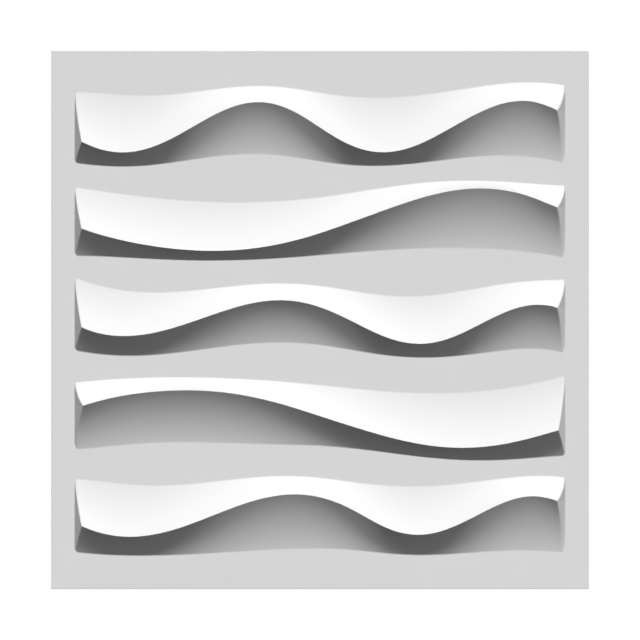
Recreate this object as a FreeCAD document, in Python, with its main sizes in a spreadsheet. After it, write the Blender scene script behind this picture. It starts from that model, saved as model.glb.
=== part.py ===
# A square wall panel tile, thermoformed from one plastic sheet.
# Five wavy ridges stand on its face, each with a sharp crest between two hollow-ground
# faces, and each is hollow at the back, where the sheet follows the same form.
# Frame: the tile lies on its back, +X across the face, +Y up the wall, +Z out of the face,
# origin under the middle of the tile at its back.

import FreeCAD, Part
import Sketcher
import math
import os
from collections import namedtuple

# Driving dimensions, in millimetres and degrees
DIMENSIONS = [
    ("tile_width", 500.0),    # side across the ridges' ends
    ("tile_height", 500.0),   # side across the rows
    ("wall", 1.2),            # sheet, measured straight through from face to back
    ("border_side", 22.0),    # flat margin beyond the ridges' ends
    ("border_row", 21.5),     # flat margin above the first row and below the last
    ("relief", 19.0),         # crest above the flat of the face
    ("end_draft", 19.0),      # lean of a ridge's end, from upright
    ("lower_bow", 11.0),      # angle between the lower face's arc and its chord
    ("upper_bow", 6.0),       # the same for the upper face
]

# Where a ridge changes direction. along runs from 0 at its left end to 1 at its right end.
# top, crest and foot are its three lines, as shares of one row counted from the row's foot.
Bend = namedtuple("Bend", "along top crest foot")

# The rows, from the lowest to the highest
ROWS = [
    [
        Bend(0.000, 0.880, 0.403, 0.135),
        Bend(0.144, 0.814, 0.303, 0.100),
        Bend(0.295, 0.857, 0.533, 0.129),
        Bend(0.457, 0.904, 0.720, 0.170),
        Bend(0.567, 0.846, 0.563, 0.157),
        Bend(0.714, 0.805, 0.317, 0.106),
        Bend(0.810, 0.845, 0.484, 0.130),
        Bend(0.895, 0.895, 0.673, 0.151),
        Bend(1.000, 0.892, 0.637, 0.134),
    ],
    [
        Bend(0.000, 0.858, 0.618, 0.179),
        Bend(0.110, 0.899, 0.734, 0.230),
        Bend(0.222, 0.910, 0.779, 0.253),
        Bend(0.369, 0.886, 0.704, 0.236),
        Bend(0.500, 0.833, 0.518, 0.217),
        Bend(0.631, 0.771, 0.318, 0.152),
        Bend(0.795, 0.760, 0.197, 0.073),
        Bend(0.910, 0.827, 0.272, 0.085),
        Bend(1.000, 0.930, 0.376, 0.116),
    ],
    [
        Bend(0.000, 0.926, 0.423, 0.187),
        Bend(0.075, 0.818, 0.340, 0.139),
        Bend(0.262, 0.806, 0.515, 0.198),
        Bend(0.443, 0.863, 0.688, 0.265),
        Bend(0.607, 0.760, 0.380, 0.157),
        Bend(0.775, 0.779, 0.332, 0.129),
        Bend(0.850, 0.843, 0.512, 0.172),
        Bend(0.925, 0.889, 0.644, 0.205),
        Bend(1.000, 0.906, 0.599, 0.158),
    ],
    [
        Bend(0.000, 0.847, 0.427, 0.149),
        Bend(0.150, 0.745, 0.255, 0.121),
        Bend(0.292, 0.694, 0.199, 0.104),
        Bend(0.434, 0.711, 0.287, 0.132),
        Bend(0.566, 0.790, 0.493, 0.183),
        Bend(0.697, 0.882, 0.721, 0.222),
        Bend(0.828, 0.908, 0.831, 0.223),
        Bend(0.920, 0.884, 0.763, 0.190),
        Bend(1.000, 0.861, 0.621, 0.128),
    ],
    [
        Bend(0.000, 0.812, 0.309, 0.094),
        Bend(0.091, 0.788, 0.200, 0.059),
        Bend(0.233, 0.809, 0.437, 0.123),
        Bend(0.373, 0.874, 0.708, 0.184),
        Bend(0.500, 0.807, 0.452, 0.110),
        Bend(0.620, 0.757, 0.202, 0.066),
        Bend(0.763, 0.823, 0.438, 0.130),
        Bend(0.914, 0.911, 0.723, 0.161),
        Bend(1.000, 0.881, 0.606, 0.094),
    ],
]

RIDGE_LENGTH = "(Dims.tile_width - 2 * Dims.border_side)"
ROW_PITCH = f"((Dims.tile_height - 2 * Dims.border_row) / {len(ROWS)})"
# How far the hollow's end stands inside the ridge's end, so that the wall is whole there too
END_WALL = "(Dims.wall * (1 - sin(Dims.end_draft)) / cos(Dims.end_draft))"


def make_sheet(doc):
    """Write the driving dimensions into a spreadsheet."""
    sheet = doc.addObject("Spreadsheet::Sheet", "Dims")
    for row, (alias, value) in enumerate(DIMENSIONS, start=1):
        sheet.set(f"A{row}", alias)
        sheet.set(f"B{row}", str(value))
        sheet.setAlias(f"B{row}", alias)
    doc.recompute()
    return sheet


def origin_plane(body, role):
    """The body's own origin plane with this role."""
    return next(item for item in body.Origin.OriginFeatures if item.Role == role)


def constrain(sketch, name, value, expression, *what):
    """Add a named dimension to a sketch and bind it."""
    index = sketch.addConstraint(Sketcher.Constraint(*what, value))
    sketch.renameConstraint(index, name)
    sketch.setExpression(f"Constraints.{name}", expression)


def pad_sheet(doc, body, sheet):
    """The flat sheet that the ridges stand on."""
    outline = body.newObject("Sketcher::SketchObject", "sheet_outline")
    outline.AttachmentSupport = (origin_plane(body, "XY_Plane"), [""])
    outline.MapMode = "FlatFace"
    half_x = sheet.tile_width / 2
    half_y = sheet.tile_height / 2
    corners = [(-half_x, -half_y), (half_x, -half_y), (half_x, half_y), (-half_x, half_y)]
    points = [FreeCAD.Vector(x, y, 0) for x, y in corners]
    for start, end in zip(points, points[1:] + points[:1]):
        outline.addGeometry(Part.LineSegment(start, end), False)
    for edge in range(4):
        outline.addConstraint(Sketcher.Constraint("Coincident", edge, 2, (edge + 1) % 4, 1))
    for edge, kind in enumerate(["Horizontal", "Vertical", "Horizontal", "Vertical"]):
        outline.addConstraint(Sketcher.Constraint(kind, edge))
    outline.addConstraint(Sketcher.Constraint("Symmetric", 0, 1, 1, 2, -1, 1))
    constrain(outline, "width", 2 * half_x, "Dims.tile_width", "DistanceX", 0, 1, 0, 2)
    constrain(outline, "height", 2 * half_y, "Dims.tile_height", "DistanceY", 1, 1, 1, 2)
    pad = body.newObject("PartDesign::Pad", "flat_sheet")
    pad.Profile = outline
    pad.setExpression("Length", "Dims.wall")
    doc.recompute()


def ground_arc(start, end, bow):
    """The arc from start to end that sags below its chord, by the bow angle at each end."""
    chord = end - start
    sag = chord.Length / 2 * math.tan(math.radians(bow) / 2)
    below = FreeCAD.Vector(chord.y, -chord.x, 0).normalize()
    return Part.Arc(start, (start + end) / 2 + below * sag, end)


def arc_radius(near, far, bow):
    """The radius of a face's arc, from the sketch's own dimensions and the bow angle."""
    run = f"(Constraints.{far} - Constraints.{near})"
    return f"sqrt({run} ^ 2 + Constraints.rise ^ 2) / (2 * sin(Dims.{bow}))"


def add_section(body, name, sheet, row, bend, seat, lean, inset):
    """One cut across a ridge: foot, crest and top, with a root below the face it rises from.

    seat is the height of that face, lean is 1 or -1 where the ridge's end slopes inwards,
    and inset moves the cut along the ridge.
    """
    sketch = body.newObject("Sketcher::SketchObject", name)
    sketch.AttachmentSupport = (origin_plane(body, "YZ_Plane"), [""])
    sketch.MapMode = "FlatFace"
    tilt = FreeCAD.Rotation(FreeCAD.Vector(1, 0, 0), sheet.end_draft)
    sketch.AttachmentOffset = FreeCAD.Placement(FreeCAD.Vector(0, 0, 0), tilt)
    sketch.setExpression("AttachmentOffset.Base.x", "-Dims.tile_height / 2")
    sketch.setExpression("AttachmentOffset.Base.y", seat)
    place = f"{RIDGE_LENGTH} * {bend.along - 0.5:.4f} + {inset}"
    sketch.setExpression("AttachmentOffset.Base.z", place)
    sketch.setExpression("AttachmentOffset.Rotation.Angle", f"Dims.end_draft * {lean}")

    pitch = (sheet.tile_height - 2 * sheet.border_row) / len(ROWS)
    shares = {"foot": bend.foot, "crest": bend.crest, "top": bend.top}
    across = {line: sheet.border_row + pitch * (row + share) for line, share in shares.items()}
    rise = sheet.relief / math.cos(math.radians(sheet.end_draft * lean))
    root = sheet.wall / 2
    foot = FreeCAD.Vector(across["foot"], 0, 0)
    crest = FreeCAD.Vector(across["crest"], rise, 0)
    top = FreeCAD.Vector(across["top"], 0, 0)
    down = FreeCAD.Vector(0, -root, 0)
    sketch.addGeometry(ground_arc(foot, crest, sheet.lower_bow), False)
    sketch.addGeometry(ground_arc(crest, top, sheet.upper_bow), False)
    sketch.addGeometry(Part.LineSegment(top, top + down), False)
    sketch.addGeometry(Part.LineSegment(top + down, foot + down), False)
    sketch.addGeometry(Part.LineSegment(foot + down, foot), False)
    for edge in range(5):
        sketch.addConstraint(Sketcher.Constraint("Coincident", edge, 2, (edge + 1) % 5, 1))
    for edge, kind in ((2, "Vertical"), (3, "Horizontal"), (4, "Vertical")):
        sketch.addConstraint(Sketcher.Constraint(kind, edge))
    for edge, end in ((0, 1), (1, 2)):
        sketch.addConstraint(Sketcher.Constraint("PointOnObject", edge, end, -1))
    for line, (edge, end) in {"foot": (0, 1), "crest": (0, 2), "top": (1, 2)}.items():
        share = f"Dims.border_row + {ROW_PITCH} * {row + shares[line]:.4f}"
        constrain(sketch, line, across[line], share, "DistanceX", -1, 1, edge, end)
    constrain(sketch, "rise", rise, f"Dims.relief / cos(Dims.end_draft * {lean})",
              "DistanceY", -1, 1, 0, 2)
    constrain(sketch, "root", root, "Dims.wall / 2", "DistanceY", 2, 2, 2, 1)
    lower = sketch.Geometry[0].Radius
    upper = sketch.Geometry[1].Radius
    constrain(sketch, "lower_radius", lower, arc_radius("foot", "crest", "lower_bow"),
              "Radius", 0)
    constrain(sketch, "upper_radius", upper, arc_radius("crest", "top", "upper_bow"),
              "Radius", 1)
    return sketch


def loft_ridge(body, kind, name, sheet, row, bends, seat, end_wall):
    """Loft one ridge, or the hollow behind it, through a cut at each of its bends."""
    sections = []
    for number, bend in enumerate(bends):
        lean = {0: 1, len(bends) - 1: -1}.get(number, 0)
        inset = f"{lean} * {end_wall}"
        sections.append(add_section(body, f"{name}_cut_{number}", sheet, row, bend, seat,
                                    lean, inset))
    loft = body.newObject(kind, name)
    loft.Profile = sections[0]
    loft.Sections = sections[1:]
    loft.Ruled = False
    return loft


def make_tile(doc, sheet):
    """The whole tile, one formed sheet."""
    body = doc.addObject("PartDesign::Body", "wave_panel")
    body.Label = "wave_panel"
    body.Placement = FreeCAD.Placement()
    pad_sheet(doc, body, sheet)
    for row, bends in enumerate(ROWS):
        loft_ridge(body, "PartDesign::AdditiveLoft", f"ridge_{row}", sheet, row, bends,
                   "Dims.wall", "0")
    doc.recompute()
    solid_volume = body.Shape.Volume
    for row, bends in enumerate(ROWS):
        loft_ridge(body, "PartDesign::SubtractiveLoft", f"hollow_{row}", sheet, row, bends,
                   "0", END_WALL)
    doc.recompute()
    print("ridges", round(solid_volume), "mm3, formed sheet", round(body.Shape.Volume), "mm3")
    if not body.Shape.Volume < solid_volume:
        raise RuntimeError("the hollows cut nothing")
    return body


def check(doc, parts):
    """Stop if an object failed, or a piece isn't one valid solid."""
    for item in doc.Objects:
        if {"Invalid", "Error"} & set(item.State):
            raise RuntimeError(f"{item.Label}: {item.State}")
    for item in parts:
        shape = item.Shape
        if shape.isNull() or not shape.isValid() or len(shape.Solids) != 1:
            raise RuntimeError(f"{item.Label}: shape is not one valid solid")


def main():
    """Build the document and write each piece."""
    doc = FreeCAD.newDocument("wall_panel_tile")
    sheet = make_sheet(doc)
    parts = [make_tile(doc, sheet)]
    doc.recompute()
    check(doc, parts)
    os.makedirs("parts", exist_ok=True)
    for item in parts:
        item.Shape.exportStep(f"parts/{item.Label}.step")
        box = item.Shape.BoundBox
        print(item.Label, [round(v, 2) for v in (box.XLength, box.YLength, box.ZLength)],
              "faces", len(item.Shape.Faces), "volume", round(item.Shape.Volume))


main()
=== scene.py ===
import logging
import math
from bisect import bisect_right
from dataclasses import dataclass, field
from enum import Enum

import bmesh
import bpy
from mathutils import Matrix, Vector


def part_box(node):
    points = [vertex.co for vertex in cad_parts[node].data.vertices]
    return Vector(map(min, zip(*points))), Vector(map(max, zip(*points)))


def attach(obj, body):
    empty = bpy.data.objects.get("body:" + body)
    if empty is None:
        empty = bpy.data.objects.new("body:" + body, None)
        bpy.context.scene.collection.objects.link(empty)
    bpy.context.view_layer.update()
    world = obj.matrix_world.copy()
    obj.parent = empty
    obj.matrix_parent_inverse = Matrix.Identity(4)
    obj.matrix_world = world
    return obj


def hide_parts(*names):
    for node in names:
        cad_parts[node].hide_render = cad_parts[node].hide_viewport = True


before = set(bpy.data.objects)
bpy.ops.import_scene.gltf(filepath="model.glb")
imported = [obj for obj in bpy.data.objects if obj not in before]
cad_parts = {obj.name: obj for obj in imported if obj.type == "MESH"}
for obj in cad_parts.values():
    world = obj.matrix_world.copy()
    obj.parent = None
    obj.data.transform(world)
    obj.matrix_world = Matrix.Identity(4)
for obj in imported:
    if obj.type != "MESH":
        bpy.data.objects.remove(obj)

MM = 0.001
# Lengths and heights that differ by less than this are the same
SAME = 0.01 * MM
# Points nearer to each other than this are merged
MERGED = 0.001 * MM
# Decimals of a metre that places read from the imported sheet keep
DECIMALS = 6
# Share of the light that the white plastic gives back, between its two tones
GIVEN_BACK = 0.87
LOG = logging.getLogger("wall_panel_tile")
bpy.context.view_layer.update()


class Reach(Enum):
    """What a lamp lights: everything without a shadow, or the floor with the tile's shadow."""

    EVERYTHING = "everything"
    FLOOR = "floor"


def linear(hex_colour: str) -> tuple[float, float, float, float]:
    """Turn an sRGB hex colour into linear red, green, blue and alpha.

    Args:
        hex_colour: Six hex digits with a leading hash.

    Returns:
        The four linear values, with alpha 1.
    """
    digits = hex_colour.lstrip("#")
    values = [int(digits[i:i + 2], 16) / 255 for i in (0, 2, 4)]
    red, green, blue = (v / 12.92 if v <= 0.04045 else ((v + 0.055) / 1.055) ** 2.4 for v in values)
    return red, green, blue, 1.0


def add_node(tree: bpy.types.NodeTree, kind: str, settings: dict[str, object] | None = None,
             inputs: dict[str | int, object] | None = None) -> bpy.types.Node:
    """Add a node, set its properties, and fill its inputs.

    Args:
        tree: The node tree that gets the node.
        kind: The node's type name.
        settings: Properties of the node itself, by name.
        inputs: What its inputs get, by their name or, where names repeat, by their number.
            A socket is linked, and anything else is set as the input's value.

    Returns:
        The new node.
    """
    node = tree.nodes.new(kind)
    for name, value in (settings or {}).items():
        setattr(node, name, value)
    for key, value in (inputs or {}).items():
        if isinstance(value, bpy.types.NodeSocket):
            tree.links.new(value, node.inputs[key])
        else:
            node.inputs[key].default_value = value
    return node


def empty_tree(owner: bpy.types.Material | bpy.types.World) -> bpy.types.NodeTree:
    """Give a material or the world a node tree with nothing in it.

    Args:
        owner: The material or world.

    Returns:
        The empty tree.
    """
    owner.use_nodes = True
    owner.node_tree.nodes.clear()
    return owner.node_tree


def seen_rays(tree: bpy.types.NodeTree) -> bpy.types.NodeSocket:
    """Tell the rays of the eye, of a reflection and through a clear body from other light.

    Args:
        tree: The node tree that gets the nodes.

    Returns:
        The socket with the answer, 1 for those rays and 0 for the rest.
    """
    path = add_node(tree, "ShaderNodeLightPath")
    either = add_node(tree, "ShaderNodeMath", {"operation": "MAXIMUM"}, {
        0: path.outputs["Is Camera Ray"],
        1: path.outputs["Is Glossy Ray"],
    })
    any_of_three = add_node(tree, "ShaderNodeMath", {"operation": "MAXIMUM"}, {
        0: either.outputs["Value"],
        1: path.outputs["Is Transmission Ray"],
    })
    return any_of_three.outputs["Value"]


@dataclass(frozen=True)
class FormedPvc:
    """Rigid PVC sheet, heated and drawn down over a mould, matt white.

    It gives the eye a dead flat white with a very faint orange peel from the heating, and a
    soft, wide sheen in place of a gloss. The real peel is finer than a millimetre, so it is
    drawn coarser here, as it would not show otherwise.

    Attributes:
        colour: The lighter of the white's two tones.
        shade: The darker one, which lies over the sheet like a thin cloud.
        roughness: The mean roughness.
        roughness_spread: How far the roughness strays from its mean.
        ior: The plastic's index of refraction.
        sheen: The strength of its reflection, where 0.5 is what the index alone gives.
        cloud_mm: The width of the clouds.
        cloud_detail: How many finer sizes of cloud lie on them.
        peel_mm: The width of the peel's grains.
        peel_detail: How many finer sizes of grain lie on them.
        peel_height_mm: The height of the grains.
    """

    colour: str = "#F2F2F2"
    shade: str = "#EEEEEE"
    roughness: float = 0.55
    roughness_spread: float = 0.04
    ior: float = 1.53
    sheen: float = 0.12
    cloud_mm: float = 90.0
    cloud_detail: float = 3.0
    peel_mm: float = 1.6
    peel_detail: float = 2.0
    peel_height_mm: float = 0.01

    def build(self) -> bpy.types.Material:
        """Make the material.

        Returns:
            The material, ready for a slot.
        """
        material = bpy.data.materials.new("formed_pvc")
        tree = empty_tree(material)
        place = add_node(tree, "ShaderNodeTexCoord").outputs["Object"]
        cloud = add_node(tree, "ShaderNodeTexNoise", inputs={
            "Vector": place,
            "Scale": 1 / (self.cloud_mm * MM),
            "Detail": self.cloud_detail,
        })
        peel = add_node(tree, "ShaderNodeTexNoise", inputs={
            "Vector": place,
            "Scale": 1 / (self.peel_mm * MM),
            "Detail": self.peel_detail,
        })
        rough = add_node(tree, "ShaderNodeMapRange", inputs={
            "Value": cloud.outputs["Fac"],
            "To Min": self.roughness - self.roughness_spread,
            "To Max": self.roughness + self.roughness_spread,
        })
        bump = add_node(tree, "ShaderNodeBump", inputs={
            "Height": peel.outputs["Fac"],
            "Strength": 1.0,
            "Distance": self.peel_height_mm * MM,
        })
        shader = add_node(tree, "ShaderNodeBsdfPrincipled", inputs={
            "Base Color": self.tone(tree, cloud.outputs["Fac"]),
            "Roughness": rough.outputs["Result"],
            "IOR": self.ior,
            "Specular IOR Level": self.sheen,
            "Normal": bump.outputs["Normal"],
        })
        add_node(tree, "ShaderNodeOutputMaterial", inputs={"Surface": shader.outputs["BSDF"]})
        return material

    def tone(self, tree: bpy.types.NodeTree, cloud: bpy.types.NodeSocket) -> bpy.types.NodeSocket:
        """Mix the white's two tones by the cloud.

        Args:
            tree: The material's node tree.
            cloud: The socket that gives the cloud.

        Returns:
            The socket with the colour.
        """
        # A mix node has one set of sockets for each kind of value, and these are the colours'
        first, second, result = 6, 7, 2
        mix = add_node(tree, "ShaderNodeMix", {"data_type": "RGBA"}, {
            "Factor": cloud,
            first: linear(self.shade),
            second: linear(self.colour),
        })
        return mix.outputs[result]


@dataclass(frozen=True)
class StudioPaper:
    """Matt white paper that looks white to the eye and keeps the tile's shadow.

    Attributes:
        colour: The paper's white.
        lift: How much brighter the eye sees it than the lamps make it.
    """

    colour: str = "#F4F4F4"
    lift: float = 0.09

    def build(self) -> bpy.types.Material:
        """Make the material.

        Returns:
            The material, ready for a slot.
        """
        material = bpy.data.materials.new("studio_paper")
        tree = empty_tree(material)
        lift = add_node(tree, "ShaderNodeMath", {"operation": "MULTIPLY"}, {
            0: seen_rays(tree),
            1: self.lift,
        })
        paper = add_node(tree, "ShaderNodeBsdfDiffuse", inputs={"Color": linear(self.colour)})
        glow = add_node(tree, "ShaderNodeEmission", inputs={"Strength": lift.outputs["Value"]})
        both = add_node(tree, "ShaderNodeAddShader", inputs={
            0: paper.outputs["BSDF"],
            1: glow.outputs["Emission"],
        })
        add_node(tree, "ShaderNodeOutputMaterial", inputs={"Surface": both.outputs["Shader"]})
        return material


def round_corner(start: Vector, corner: Vector, end: Vector, steps: int) -> list[Vector]:
    """Round a corner with a short curve.

    Args:
        start: Where the curve leaves the first line.
        corner: Where the two lines meet.
        end: Where the curve joins the second line.
        steps: How many pieces the curve has.

    Returns:
        The curve's points, its two ends among them.
    """
    shares = [step / steps for step in range(steps + 1)]
    return [start * (1 - t) ** 2 + corner * (2 * t * (1 - t)) + end * t ** 2 for t in shares]


@dataclass(frozen=True)
class Line:
    """One long line of a ridge, as y over x, smooth through the points that it is given.

    Attributes:
        xs: The points' places along the ridge, from left to right.
        ys: Their places up the sheet.
    """

    xs: tuple[float, ...]
    ys: tuple[float, ...]

    def slope(self, index: int) -> float:
        """Give the line's slope at one of its points.

        Args:
            index: The point's number.

        Returns:
            The slope between the points on its two sides.
        """
        before, after = max(index - 1, 0), min(index + 1, len(self.xs) - 1)
        return (self.ys[after] - self.ys[before]) / (self.xs[after] - self.xs[before])

    def at(self, x: float) -> float:
        """Give the line's y at x.

        Args:
            x: A place along the ridge.

        Returns:
            The y of a cubic between the two points beside x.
        """
        x = min(max(x, self.xs[0]), self.xs[-1])
        index = min(bisect_right(self.xs, x) - 1, len(self.xs) - 2)
        width = self.xs[index + 1] - self.xs[index]
        t = (x - self.xs[index]) / width
        low, high = self.ys[index], self.ys[index + 1]
        leave, arrive = self.slope(index) * width, self.slope(index + 1) * width
        return (low * (1 + 2 * t) * (1 - t) ** 2 + leave * t * (1 - t) ** 2
                + high * t ** 2 * (3 - 2 * t) + arrive * t ** 2 * (t - 1))


@dataclass(frozen=True)
class Arc:
    """A face's cut in y and z: an arc that sags below the straight line between its ends.

    Attributes:
        start: The arc's first end.
        end: Its other end.
        bow: The angle between the arc and the straight line, at either end.
    """

    start: Vector
    end: Vector
    bow: float

    @property
    def length(self) -> float:
        """Give the length of the straight line between the arc's ends."""
        return (self.end - self.start).length

    def at(self, share: float) -> Vector:
        """Give a point of the arc.

        Args:
            share: 0 at its start and 1 at its end.

        Returns:
            The point.
        """
        chord = self.end - self.start
        radius = chord.length / (2 * math.sin(self.bow))
        angle = (2 * share - 1) * self.bow
        along = 0.5 + radius * math.sin(angle) / chord.length
        sag = radius * (math.cos(angle) - math.cos(self.bow))
        return self.start + chord * along + Vector((chord.y, -chord.x)).normalized() * sag


@dataclass(frozen=True)
class RidgeEnd:
    """How one end of a ridge runs, seen from above.

    Attributes:
        more_run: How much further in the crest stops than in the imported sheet.
        crest_lift: How far the crest moves up the sheet beside this end.
        upper_power: How the edge beside the upper face runs in. At 1 it keeps to an end
            that leans evenly, and above 1 it bulges.
        lower_fall: The share of the crest's inset that the edge has lost at the foot.
        lower_power: How it loses it. Below 1 it loses most beside the crest.
        foot_cut: How far the corner at the foot is drawn in.
        top_cut: How far the corner at the top is drawn in.
        cut_reach: How far along the end a corner reaches, as a share of its face's width.
        cut_power: How round the corner is, where 1 is a straight cut.
        rounding: How far the rounded edge reaches onto the end and onto the faces.
    """

    more_run: float
    crest_lift: float
    upper_power: float
    lower_fall: float
    lower_power: float
    foot_cut: float
    top_cut: float
    cut_reach: float
    cut_power: float
    rounding: float

    def corner(self, along: float, width: float, depth: float) -> float:
        """Give how far a rounded corner of the ridge draws its end in.

        Args:
            along: The distance from the corner, along the end.
            width: The width of the face that starts at the corner.
            depth: How far the corner is drawn in at most.

        Returns:
            The inset.
        """
        near = min(max(1 - along / (self.cut_reach * width), 0.0), 1.0)
        return depth * near ** self.cut_power

    def inset(self, run: float, level: float, below: float, corner: float) -> float:
        """Give how far inside the base the end's edge with the faces lies.

        Args:
            run: The inset at the crest.
            level: The edge's height, from 0 on the flat to 1 at the crest.
            below: How far the edge is from the crest, 1 at the foot and negative on the
                upper face.
            corner: What the ridge's rounded corners draw the end in by.

        Returns:
            The inset.
        """
        if below <= 0:
            return corner + run * level ** self.upper_power
        held = 1 - self.lower_fall * min(below, 1.0) ** self.lower_power
        return max(corner + run * level, run * held)


WIDE_RIGHT = RidgeEnd(more_run=0.9 * MM, crest_lift=1.2 * MM, upper_power=1.4, lower_fall=0.7,
                      lower_power=0.6, foot_cut=2.4 * MM, top_cut=1.2 * MM, cut_reach=0.2,
                      cut_power=1.2, rounding=1.6 * MM)
WIDE_LEFT = RidgeEnd(more_run=1.2 * MM, crest_lift=0.3 * MM, upper_power=1.3, lower_fall=1.0,
                     lower_power=0.5, foot_cut=2.4 * MM, top_cut=1.0 * MM, cut_reach=0.18,
                     cut_power=1.4, rounding=1.3 * MM)
NARROW_LOWER = RidgeEnd(more_run=0.0, crest_lift=0.0, upper_power=1.0, lower_fall=1.0,
                        lower_power=0.5, foot_cut=2.4 * MM, top_cut=1.6 * MM, cut_reach=0.18,
                        cut_power=1.7, rounding=1.3 * MM)


@dataclass(frozen=True)
class Ridge:
    """The three lines of one ridge, and how its cut runs between them.

    Attributes:
        foot: The line at which its lower face rises from the flat.
        crest: The line of its sharp crest.
        top: The line at which its upper face comes down to the flat.
        height: The crest's height above the flat.
        lower_bow: How hollow the lower face is, as an arc's angle to its chord.
        upper_bow: The same for the upper face.
        crest_round: How far the crest's rounding reaches on each side.
        crease_round: How far the rounding at foot and top reaches on each side.
        lean_fade: How far from a ridge's end its cuts start to lean inwards.
        lift_fade: How far from the end the crest starts to move up the sheet.
        crest_rise: How far the crest lies up the sheet where the lower face is wide.
        rise_from: The lower face's share of the ridge's width at which that starts.
        rise_full: The share at which it is complete.
        face_steps: How many pieces a face's cut has.
        round_steps: How many pieces a rounding has.
    """

    foot: Line
    crest: Line
    top: Line
    height: float
    lower_bow: float = math.radians(11.0)
    upper_bow: float = math.radians(10.0)
    crest_round: float = 0.4 * MM
    crease_round: float = 0.7 * MM
    lean_fade: float = 60 * MM
    lift_fade: float = 14 * MM
    crest_rise: float = 0.45 * MM
    rise_from: float = 0.35
    rise_full: float = 0.65
    face_steps: int = 12
    round_steps: int = 4

    @property
    def half_length(self) -> float:
        """Give half of the ridge's length at its base."""
        return self.foot.xs[-1]

    @property
    def end_run(self) -> float:
        """Give how far inside the base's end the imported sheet's crest stops."""
        return self.foot.xs[-1] - self.crest.xs[-1]

    def end(self, side: int) -> RidgeEnd:
        """Give the kind of one of the ridge's ends.

        Args:
            side: -1 for its left end and 1 for its right end.

        Returns:
            The kind, by which of the two faces is the wider one there.
        """
        x = side * self.half_length
        if self.crest.at(x) - self.foot.at(x) < self.top.at(x) - self.crest.at(x):
            return NARROW_LOWER
        return WIDE_RIGHT if side > 0 else WIDE_LEFT

    def near_end(self, x: float, reach: float) -> float:
        """Give how near x is to the ridge's end.

        Args:
            x: The place of a cut at its base.
            reach: How far from the end the answer starts to rise.

        Returns:
            1 at the end and 0 beyond the reach, with a smooth rise between.
        """
        near = min(max((abs(x) - self.half_length + reach) / reach, 0.0), 1.0)
        return near ** 2 * (3 - 2 * near)

    def lean(self, x: float) -> float:
        """Give how far the crest of the cut at x moves along the ridge.

        Args:
            x: The place of the cut at its base.

        Returns:
            The shift towards the ridge's middle, all of the end's run at the ridge's end.
        """
        return -math.copysign(self.end_run * self.near_end(x, self.lean_fade), x)

    def lift(self, x: float) -> float:
        """Give how far the crest of the cut at x moves up the sheet.

        Args:
            x: The place of the cut at its base.

        Returns:
            The shift, which is the end's own beside an end and elsewhere goes with the
            width of the lower face.
        """
        foot = self.foot.at(x)
        share = (self.crest.at(x) - foot) / (self.top.at(x) - foot)
        wide = min(max((share - self.rise_from) / (self.rise_full - self.rise_from), 0.0), 1.0)
        side = 1 if x > 0 else -1
        beside_end = self.end(side).crest_lift * self.near_end(x, self.lift_fade)
        return self.crest_rise * wide * (1 - self.near_end(x, self.lean_fade)) + beside_end

    def cut(self, x: float) -> list[Vector]:
        """Cut the ridge across, from the flat below its foot to the flat above its top.

        Args:
            x: The place of the cut at its base.

        Returns:
            The cut's points, as many at every x, with z counted from the flat.
        """
        shift = self.lean(x)
        foot = Vector((self.foot.at(x), 0.0))
        crest = Vector((self.crest.at(x + shift) + self.lift(x), self.height))
        top = Vector((self.top.at(x), 0.0))
        crease = Vector((self.crease_round, 0.0))
        lower, upper = Arc(foot, crest, self.lower_bow), Arc(crest, top, self.upper_bow)
        lower_start, lower_end = self.crease_round / lower.length, 1 - self.crest_round / lower.length
        upper_start, upper_end = self.crest_round / upper.length, 1 - self.crease_round / upper.length
        points = round_corner(foot - crease, foot, lower.at(lower_start), self.round_steps)
        points += self.face(lower, lower_start, lower_end)
        points += round_corner(lower.at(lower_end), crest, upper.at(upper_start), self.round_steps)
        points += self.face(upper, upper_start, upper_end)
        points += round_corner(upper.at(upper_end), top, top + crease, self.round_steps)
        return [Vector((x + shift * z / self.height, y, z)) for y, z in points]

    def face(self, arc: Arc, first: float, last: float) -> list[Vector]:
        """Give the points of a face between its two rounded lines, closer near them.

        Args:
            arc: The face's cut.
            first: The share of the arc at which its first rounding ends.
            last: The share at which its second rounding starts.

        Returns:
            The points between the two.
        """
        shares = [(1 - math.cos(math.pi * step / self.face_steps)) / 2
                  for step in range(1, self.face_steps)]
        return [arc.at(first + (last - first) * share) for share in shares]


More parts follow.
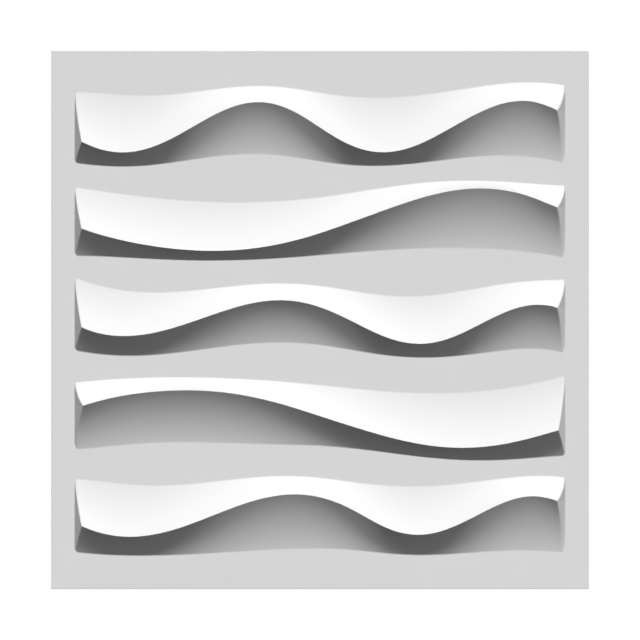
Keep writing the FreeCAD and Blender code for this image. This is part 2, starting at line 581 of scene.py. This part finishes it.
@dataclass
class FormedSheet:
    """The tile: one thin sheet drawn over a mould, with five wavy ridges and a flat margin.

    Each side of the sheet is a grid of points. Its rows run along the ridges, one for each
    point of a ridge's cut, and its columns run across them.

    Attributes:
        node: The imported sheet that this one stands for.
        finish: The material.
        column: The distance between two columns.
        end_columns: How far from a ridge's end the even columns stop.
        end_crease: How far the rounding at the base of a ridge's end reaches on each side.
        cut_edge: The size of the broken edge round the sheet.
        row_gap: Points of one kind of line that lie further apart are in different rows.
        sharp_deg: Edges sharper than this are shaded sharp.
        flat_normal: The upward part of a normal above which a facet is flat.
        end_normal: The sideways part above which it belongs to a ridge's end.
        back_normal: The upward part below which it belongs to the back or the edge.
        low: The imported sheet's lowest corner.
        high: Its highest corner.
        wall: The sheet's thickness, which is the height of the face's flat.
    """

    node: str = "wave_panel"
    finish: FormedPvc = field(default_factory=FormedPvc)
    column: float = 3.0 * MM
    end_columns: float = 5.6 * MM
    end_crease: float = 0.9 * MM
    cut_edge: float = 0.2 * MM
    row_gap: float = 20 * MM
    sharp_deg: float = 35.0
    flat_normal: float = 0.9999
    end_normal: float = 0.85
    back_normal: float = 0.05
    low: Vector = field(init=False)
    high: Vector = field(init=False)
    wall: float = field(init=False)

    def build(self) -> bpy.types.Object:
        """Make the sheet, put it in the node's place and dress it.

        Returns:
            The sheet's object.
        """
        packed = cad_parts[self.node].data
        self.low, self.high = (Vector(corner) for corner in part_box(self.node))
        self.wall = max(facet.center.z for facet in packed.polygons
                        if facet.normal.z > self.flat_normal)
        ridges = self.read_ridges(packed)
        # A ridge's end leans, so the back's end stands in by less than the sheet's thickness
        draft = math.atan2(ridges[0].end_run, ridges[0].height)
        end_wall = self.wall * (1 - math.sin(draft)) / math.cos(draft)
        piece = self.join(self.grid(ridges, self.wall, 0.0), self.grid(ridges, 0.0, end_wall))
        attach(piece, "root")
        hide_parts(self.node)
        piece.data.materials.append(self.finish.build())
        return piece

    def read_ridges(self, mesh: bpy.types.Mesh) -> list[Ridge]:
        """Read the ridges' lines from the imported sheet.

        Args:
            mesh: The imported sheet's mesh.

        Returns:
            The ridges, from the lowest row to the highest.
        """
        lines: dict[str, set[tuple[float, float]]] = {"foot": set(), "crest": set(), "top": set()}
        for facet in mesh.polygons:
            flat = facet.normal.z > self.flat_normal
            back = facet.normal.z < self.back_normal
            if flat or back or abs(facet.normal.x) > self.end_normal:
                continue
            for index in facet.vertices:
                x, y, z = mesh.vertices[index].co
                place = (round(y, DECIMALS), round(x, DECIMALS))
                if abs(z - self.wall) < SAME:
                    lines["foot" if facet.normal.y < 0 else "top"].add(place)
                elif abs(z - self.high.z) < SAME:
                    lines["crest"].add(place)
        rows = [self.split_rows(lines[name]) for name in ("foot", "crest", "top")]
        height = self.high.z - self.wall
        return [Ridge(foot, crest, top, height) for foot, crest, top in zip(*rows)]

    def split_rows(self, places: set[tuple[float, float]]) -> list[Line]:
        """Part one kind of line's points into rows.

        Args:
            places: The points as y and x.

        Returns:
            One line for each row, from the lowest.
        """
        rows: list[list[tuple[float, float]]] = []
        for y, x in sorted(places):
            if not rows or y - rows[-1][-1][1] > self.row_gap:
                rows.append([])
            rows[-1].append((x, y))
        return [Line(*zip(*sorted(dict(row).items()))) for row in rows]

    def grid(self, ridges: list[Ridge], level: float, end_wall: float) -> list[list[Vector]]:
        """Lay one side of the sheet out as rows of points, from the lower edge to the upper.

        Args:
            ridges: The ridges, from the lowest.
            level: The height of this side's flat.
            end_wall: How far this side's ridge ends stand inside the face's.

        Returns:
            The rows, all with as many points.
        """
        lower_edge = (self.low.y, self.low.y + self.cut_edge)
        upper_edge = (self.high.y - self.cut_edge, self.high.y)
        rows = [self.flat_row(ridges[0], y, end_wall) for y in lower_edge]
        for ridge in ridges:
            rows += self.ridge_rows(ridge, end_wall)
        rows += [self.flat_row(ridges[0], y, end_wall) for y in upper_edge]
        for row in rows:
            for point in row:
                point.z += level
        return rows

    def columns(self, ridge: Ridge) -> list[float]:
        """Give where the cuts lie between a ridge's two shaped ends.

        Args:
            ridge: The ridge.

        Returns:
            The cuts' places at their base, from left to right.
        """
        reach = ridge.half_length - self.end_columns
        count = round(2 * reach / self.column)
        return [reach * (2 * number / count - 1) for number in range(count + 1)]

    def flat_row(self, ridge: Ridge, y: float, end_wall: float) -> list[Vector]:
        """Give a row of points beside the sheet's lower or upper edge.

        Args:
            ridge: A ridge, for its columns.
            y: The row's place.
            end_wall: How far this side's ridge ends stand inside the face's.

        Returns:
            The row's points.
        """
        steps = 2 * ridge.round_steps + 2
        out = ridge.half_length - end_wall + self.end_crease
        span = 2 * self.end_crease
        ends = [out - span * step / steps for step in range(steps + 1)]
        edge = [self.high.x, self.high.x - self.cut_edge]
        left = [Vector((-x, y, 0.0)) for x in edge + ends]
        middle = [Vector((x, y, 0.0)) for x in self.columns(ridge)]
        right = [Vector((x, y, 0.0)) for x in edge + ends]
        return left + middle + right[::-1]

    def ridge_rows(self, ridge: Ridge, end_wall: float) -> list[list[Vector]]:
        """Give the rows of points along one ridge.

        Args:
            ridge: The ridge.
            end_wall: How far this side's ridge ends stand inside the face's.

        Returns:
            The rows, one for each point of the ridge's cut.
        """
        cuts = [ridge.cut(x) for x in self.columns(ridge)]
        left_rows = self.end_rows(ridge, -1, end_wall)
        right_rows = self.end_rows(ridge, 1, end_wall)
        edge = [self.high.x, self.high.x - self.cut_edge]
        rows = []
        for left, middle, right in zip(left_rows, zip(*cuts), right_rows):
            row = [Vector((-x, left[0].y, 0.0)) for x in edge] + left + list(middle)
            row += right[::-1] + [Vector((x, right[0].y, 0.0)) for x in edge[::-1]]
            rows.append(row)
        return rows

    def end_rows(self, ridge: Ridge, side: int, end_wall: float) -> list[list[Vector]]:
        """Shape one end of a ridge: the flat, the leaning end and the start of the faces.

        Args:
            ridge: The ridge.
            side: -1 for its left end and 1 for its right end.
            end_wall: How far this side's ridge ends stand inside the face's.

        Returns:
            For each point of the ridge's cut, the points from the flat to the face.
        """
        base, end = ridge.half_length - end_wall, ridge.end(side)
        outline = ridge.cut(side * base)
        foot, top = ridge.foot.at(side * base), ridge.top.at(side * base)
        crest = max(outline, key=lambda point: point.z).y
        rows = []
        for number, point in enumerate(outline):
            level, below = point.z / ridge.height, (crest - point.y) / (crest - foot)
            corner = end.corner(point.y - foot, crest - foot, end.foot_cut)
            corner += end.corner(top - point.y, top - crest, end.top_cut)
            inset = end.inset(ridge.end_run + end.more_run, level, below, corner)
            # A cut leans in by itself, so its base stands out by that much
            cut = base - inset + ridge.end_run * level
            edge = ridge.cut(side * cut)[number]
            inner = ridge.cut(side * (cut - end.rounding))[number]
            start = Vector((side * (base - corner), edge.y, 0.0))
            rows.append(self.end_row(start, edge, inner, side, end.rounding, ridge.round_steps))
        return rows

    def end_row(self, start: Vector, edge: Vector, inner: Vector, side: int, rounding: float,
                steps: int) -> list[Vector]:
        """Run one row from the flat, up the ridge's leaning end and onto its face.

        Args:
            start: Where the end rises from the flat.
            edge: Where the end meets the face.
            inner: The point of the face at which the rounding stops.
            side: -1 for the left end and 1 for the right end.
            rounding: How far the upper rounding reaches from the edge.
            steps: How many pieces each rounding has.

        Returns:
            The row's points.
        """
        # Near the ridge's corners the end is low, and each rounding stops halfway up it
        halfway = 0.5
        rise = edge - start
        length = max(rise.length, SAME)
        low = start + rise * min(self.end_crease / length, halfway)
        high = edge - rise * min(rounding / length, halfway)
        flat = start + Vector((side * self.end_crease, 0.0, 0.0))
        row = round_corner(flat, start, low, steps)
        row.append((low + high) / 2)
        return row + round_corner(high, edge, inner, steps)

    def rim(self, rows: int, columns: int) -> list[tuple[int, int]]:
        """Walk once round the outer points of a grid.

        Args:
            rows: How many rows the grid has.
            columns: How many columns it has.

        Returns:
            Each outer point's row and column.
        """
        last_row, last_column = rows - 1, columns - 1
        lower = [(0, column) for column in range(last_column)]
        right = [(row, last_column) for row in range(last_row)]
        upper = [(last_row, column) for column in range(last_column, 0, -1)]
        left = [(row, 0) for row in range(last_row, 0, -1)]
        return lower + right + upper + left

    def join(self, face: list[list[Vector]], back: list[list[Vector]]) -> bpy.types.Object:
        """Join the face, the back and the cut edge round them to one closed sheet.

        Args:
            face: The face's rows of points.
            back: The back's rows of points.

        Returns:
            The sheet's object.
        """
        rows, columns = len(face), len(face[0])
        rim = self.rim(rows, columns)
        for row, column in rim:
            face[row][column].z -= self.cut_edge
        points = [point for side in (face, back) for row in side for point in row]
        # The back's points are numbered on from the face's
        under = rows * columns
        quads = []
        for row in range(rows - 1):
            for column in range(columns - 1):
                here = row * columns + column
                above = here + columns
                quads.append((here, here + 1, above + 1, above))
                quads.append((under + above, under + above + 1, under + here + 1, under + here))
        numbers = [row * columns + column for row, column in rim]
        for here, following in zip(numbers, numbers[1:] + numbers[:1]):
            quads.append((under + here, under + following, following, here))
        mesh = bpy.data.meshes.new("formed_sheet")
        mesh.from_pydata(points, [], quads)
        self.clean(mesh)
        piece = bpy.data.objects.new("formed_sheet", mesh)
        bpy.context.scene.collection.objects.link(piece)
        weighted = piece.modifiers.new("even_shading", "WEIGHTED_NORMAL")
        weighted.keep_sharp = True
        return piece

    def clean(self, mesh: bpy.types.Mesh) -> None:
        """Merge the points that meet where an end runs out, and shade the sheet smooth.

        Args:
            mesh: The sheet's mesh.
        """
        work = bmesh.new()
        work.from_mesh(mesh)
        bmesh.ops.remove_doubles(work, verts=work.verts, dist=MERGED)
        bmesh.ops.dissolve_degenerate(work, dist=MERGED, edges=work.edges)
        work.to_mesh(mesh)
        work.free()
        mesh.shade_smooth()
        mesh.set_sharp_from_angle(angle=math.radians(self.sharp_deg))


@dataclass(frozen=True)
class Lamp:
    """A far lamp, given by where its light comes from.

    Attributes:
        name: The lamp's name.
        strength: The level of a white face that looks straight at it, where 1 is full white.
        tilt_deg: How far from straight above it stands.
        turn_deg: How far it is turned from the tile's upper edge towards its right edge.
        spread_deg: How wide it looks from the tile.
        reach: What it lights.
    """

    name: str
    strength: float
    tilt_deg: float
    turn_deg: float
    spread_deg: float = 5.0
    reach: Reach = Reach.EVERYTHING

    def build(self, floor: bpy.types.Object) -> None:
        """Make the lamp.

        Args:
            floor: What a lamp for the floor lights.
        """
        light = bpy.data.lights.new(self.name, "SUN")
        light.energy = self.strength * math.pi / GIVEN_BACK
        light.cycles.max_bounces = 0
        light.angle = math.radians(self.spread_deg)
        light.use_shadow = self.reach is Reach.FLOOR
        lamp = bpy.data.objects.new(self.name, light)
        bpy.context.scene.collection.objects.link(lamp)
        if self.reach is Reach.FLOOR:
            lit = bpy.data.collections.new(f"lit_by_{self.name}")
            lit.objects.link(floor)
            lamp.light_linking.receiver_collection = lit
        tilt, turn = math.radians(self.tilt_deg), math.radians(self.turn_deg)
        source = Vector((math.sin(tilt) * math.sin(turn), math.sin(tilt) * math.cos(turn),
                         math.cos(tilt)))
        lamp.location = source
        lamp.rotation_mode = "QUATERNION"
        lamp.rotation_quaternion = source.to_track_quat("Z", "Y")


@dataclass
class Studio:
    """The floor, the lamps, the world and the camera.

    The tile's own lamps cast no shadow, because the ridges cast none on each other in the
    picture. A lamp for the floor alone gives the tile its shadow.

    Attributes:
        paper: The floor's material.
        floor_side: The floor's side, so wide that its edge stays far from the tile.
        floor_gap: How far under the tile's back the floor lies.
        view_width: The width that the camera sees at the tile's back.
        focal_length: The camera's lens in millimetres, so long that the view is nearly even.
        centre: Where on the tile the camera looks.
        sight: How far the camera sees, as a multiple of its distance.
        ambient: The even fill's level, where 1 is full white.
        lamps: The lamps.
    """

    paper: StudioPaper = field(default_factory=StudioPaper)
    floor_side: float = 40.0
    floor_gap: float = 0.1 * MM
    view_width: float = 595.1 * MM
    focal_length: float = 1500.0
    centre: tuple[float, float] = (0.0, -0.3 * MM)
    sight: float = 10.0
    ambient: float = 0.03
    lamps: tuple[Lamp, ...] = (
        Lamp("key_right", strength=0.67, tilt_deg=58.0, turn_deg=26.0),
        Lamp("key_left", strength=0.41, tilt_deg=60.0, turn_deg=-36.0),
        Lamp("side_right", strength=0.08, tilt_deg=31.0, turn_deg=123.0),
        Lamp("floor_key", strength=0.3, tilt_deg=35.0, turn_deg=0.0, spread_deg=8.0,
             reach=Reach.FLOOR),
    )

    def build(self) -> None:
        """Make the whole studio."""
        floor = self.make_floor()
        self.make_world()
        for lamp in self.lamps:
            lamp.build(floor)
        self.make_camera()
        bpy.context.scene.view_settings.view_transform = "Standard"

    def make_floor(self) -> bpy.types.Object:
        """Lay the floor just under the tile.

        Returns:
            The floor's object.
        """
        half = self.floor_side / 2
        mesh = bpy.data.meshes.new("floor")
        corners = [(-half, -half), (half, -half), (half, half), (-half, half)]
        mesh.from_pydata([(x, y, -self.floor_gap) for x, y in corners], [], [(0, 1, 2, 3)])
        mesh.materials.append(self.paper.build())
        floor = bpy.data.objects.new("floor", mesh)
        bpy.context.scene.collection.objects.link(floor)
        return floor

    def make_world(self) -> None:
        """Make a weak even fill for the tile, and white where the eye looks past the floor."""
        world = bpy.data.worlds.new("studio")
        bpy.context.scene.world = world
        tree = empty_tree(world)
        strength = add_node(tree, "ShaderNodeMapRange", inputs={
            "Value": seen_rays(tree),
            "To Min": self.ambient,
            "To Max": 1.0,
        })
        back = add_node(tree, "ShaderNodeBackground", inputs={
            "Color": linear("#FFFFFF"),
            "Strength": strength.outputs["Result"],
        })
        add_node(tree, "ShaderNodeOutputWorld", inputs={"Surface": back.outputs["Background"]})

    def make_camera(self) -> None:
        """Set up a long lens that looks straight down on the tile."""
        data = bpy.data.cameras.new("camera")
        data.lens = self.focal_length
        distance = self.view_width / data.sensor_width * data.lens
        data.clip_end = self.sight * distance
        camera = bpy.data.objects.new("camera", data)
        camera.location = (*self.centre, distance)
        bpy.context.scene.collection.objects.link(camera)
        bpy.context.scene.camera = camera


def main() -> None:
    """Build the tile and then its studio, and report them."""
    logging.basicConfig(level=logging.INFO, format="%(message)s")
    sheet = FormedSheet().build()
    LOG.info("%s: %d faces", sheet.name, len(sheet.data.polygons))
    studio = Studio()
    studio.build()
    LOG.info("studio: %s", ", ".join(lamp.name for lamp in studio.lamps))
    bpy.context.view_layer.update()


if __name__ == "__main__":
    main()
